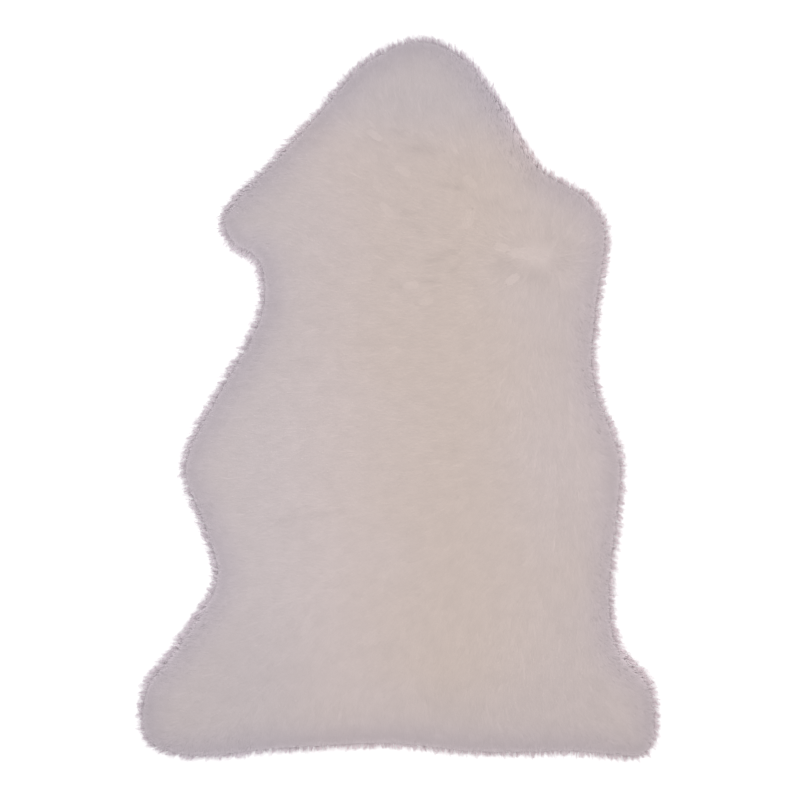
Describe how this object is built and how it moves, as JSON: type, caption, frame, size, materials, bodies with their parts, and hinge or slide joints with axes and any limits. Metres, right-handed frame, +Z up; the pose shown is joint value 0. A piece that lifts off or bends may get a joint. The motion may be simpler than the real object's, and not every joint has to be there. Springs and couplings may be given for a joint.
{
  "type": "sheepskin rug",
  "caption": "Whole natural sheepskin rug in cream wool, one uneven pelt with a thick soft pile, lying flat on its hide.",
  "frame": {"origin": "under the middle of the pelt's bounding box, on the surface that the hide rests on", "axes": "+Y along the backbone towards the neck, +X to the pelt's right seen from above, +Z up out of the wool"},
  "size_m": [0.6844, 0.9498, 0.0473],
  "materials": {
    "wool": "long soft sheep's wool, cream along the backbone and cooler at the rim, matt with a faint sheen",
    "hide": "tanned undyed hide, suede side down"
  },
  "bodies": {
    "root": {"sheepskin": "wool"}
  },
  "joints": []
}
